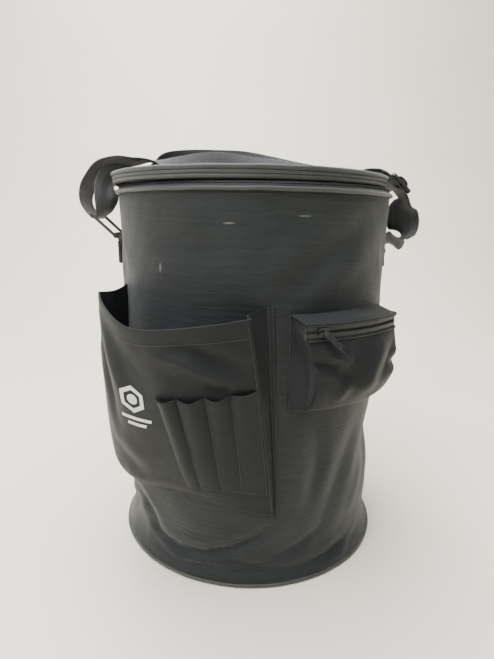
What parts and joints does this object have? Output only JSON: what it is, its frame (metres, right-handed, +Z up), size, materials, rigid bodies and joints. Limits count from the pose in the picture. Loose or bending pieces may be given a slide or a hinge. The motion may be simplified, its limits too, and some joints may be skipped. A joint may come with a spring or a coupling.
{
  "type": "soft round tool bag",
  "caption": "Round soft bucket bag with a zip lid, open front pocket, pen sleeves, zipped side pocket and webbing shoulder strap.",
  "frame": {"origin": "centre of the underside of the base", "axes": "+Z up along the bag's axis; the open front pocket faces -Y; the ring is on -X and the strap's sewn end on +X"},
  "size_m": [0.3884, 0.3478, 0.4585],
  "materials": {
    "woven_cloth": "woven nylon, coated inside",
    "pocket_cloth": "plain woven nylon",
    "base_cloth": "woven nylon, scuffed",
    "piping": "cord covered in woven tape",
    "binding": "woven tape",
    "lining": "plain lining cloth",
    "zip_tape": "woven tape",
    "zip_coil": "nylon coil",
    "board": "polyethylene board",
    "hoop": "stiff plastic rod",
    "slider_metal": "gun-black enamel, worn",
    "moulded_plastic": "moulded acetal",
    "webbing": "ribbed polypropylene webbing"
  },
  "bodies": {
    "bag": {"body_shell": "woven_cloth", "base_panel": "base_cloth", "base_board": "board", "base_piping": "piping", "rim_hoop": "hoop", "rim_facing": "binding", "rim_piping": "piping", "rim_zip_tape": "zip_tape", "rim_zip_coil": "zip_coil", "zip_end_stops": "zip_coil", "lid_hinge_tape": "woven_cloth", "front_pocket_panel": "pocket_cloth", "front_pocket_hem": "pocket_cloth", "front_gusset_left": "pocket_cloth", "front_gusset_right": "pocket_cloth", "pen_sleeves": "pocket_cloth", "side_pocket_front": "pocket_cloth", "side_pocket_flap": "pocket_cloth", "side_gusset_left": "pocket_cloth", "side_gusset_right": "pocket_cloth", "side_zip_upper_tape": "zip_tape", "side_zip_lower_tape": "zip_tape", "side_zip_upper_coil": "zip_coil", "side_zip_lower_coil": "zip_coil", "ring_tab": "webbing", "shoulder_strap": "webbing"},
    "lid": {"lid_panel": "woven_cloth", "lid_board": "board", "lid_lining": "lining", "lid_piping": "piping", "lid_zip_tape": "zip_tape", "lid_zip_coil": "zip_coil"},
    "main_slider": {"main_zip_slider": "slider_metal"},
    "main_pull": {"main_zip_pull": "slider_metal"},
    "side_slider": {"side_zip_slider": "slider_metal"},
    "side_pull": {"side_zip_pull": "slider_metal"},
    "ring": {"strap_ring": "moulded_plastic"},
    "adjuster": {"strap_adjuster": "moulded_plastic", "strap_end_loop": "webbing"}
  },
  "joints": [
    {"name": "lid_hinge", "type": "hinge", "parent": "bag", "child": "lid", "pos_m": [0, 0.151, 0.404], "axis": [-1, 0, 0], "range_deg": [0, 105], "deforming": ["shoulder_strap", "lid_hinge_tape"]},
    {"name": "main_zip_travel", "type": "hinge", "parent": "bag", "child": "main_slider", "pos_m": [0, 0, 0.402], "axis": [0, 0, 1], "range_deg": [0, 299]},
    {"name": "main_pull_swing", "type": "hinge", "parent": "main_slider", "child": "main_pull", "pos_m": [-0.07795, 0.13501, 0.4009], "axis": [0.866, 0.5, 0], "range_deg": [0, 80]},
    {"name": "side_zip_travel", "type": "hinge", "parent": "bag", "child": "side_slider", "pos_m": [0, 0, 0.2735], "axis": [0, 0, 1], "range_deg": [-2, 32]},
    {"name": "side_pull_swing", "type": "hinge", "parent": "side_slider", "child": "side_pull", "pos_m": [0.0633, -0.1693, 0.2735], "axis": [-0.9367, -0.3502, 0], "range_deg": [0, 75]},
    {"name": "ring_swing", "type": "hinge", "parent": "bag", "child": "ring", "pos_m": [-0.1565, 0, 0.3495], "axis": [0, 1, 0], "range_deg": [-10, 10]},
    {"name": "adjuster_slide", "type": "slide", "parent": "bag", "child": "adjuster", "axis": [-0.7071, 0, 0.7071], "range_m": [-0.012, 0.004]}
  ]
}
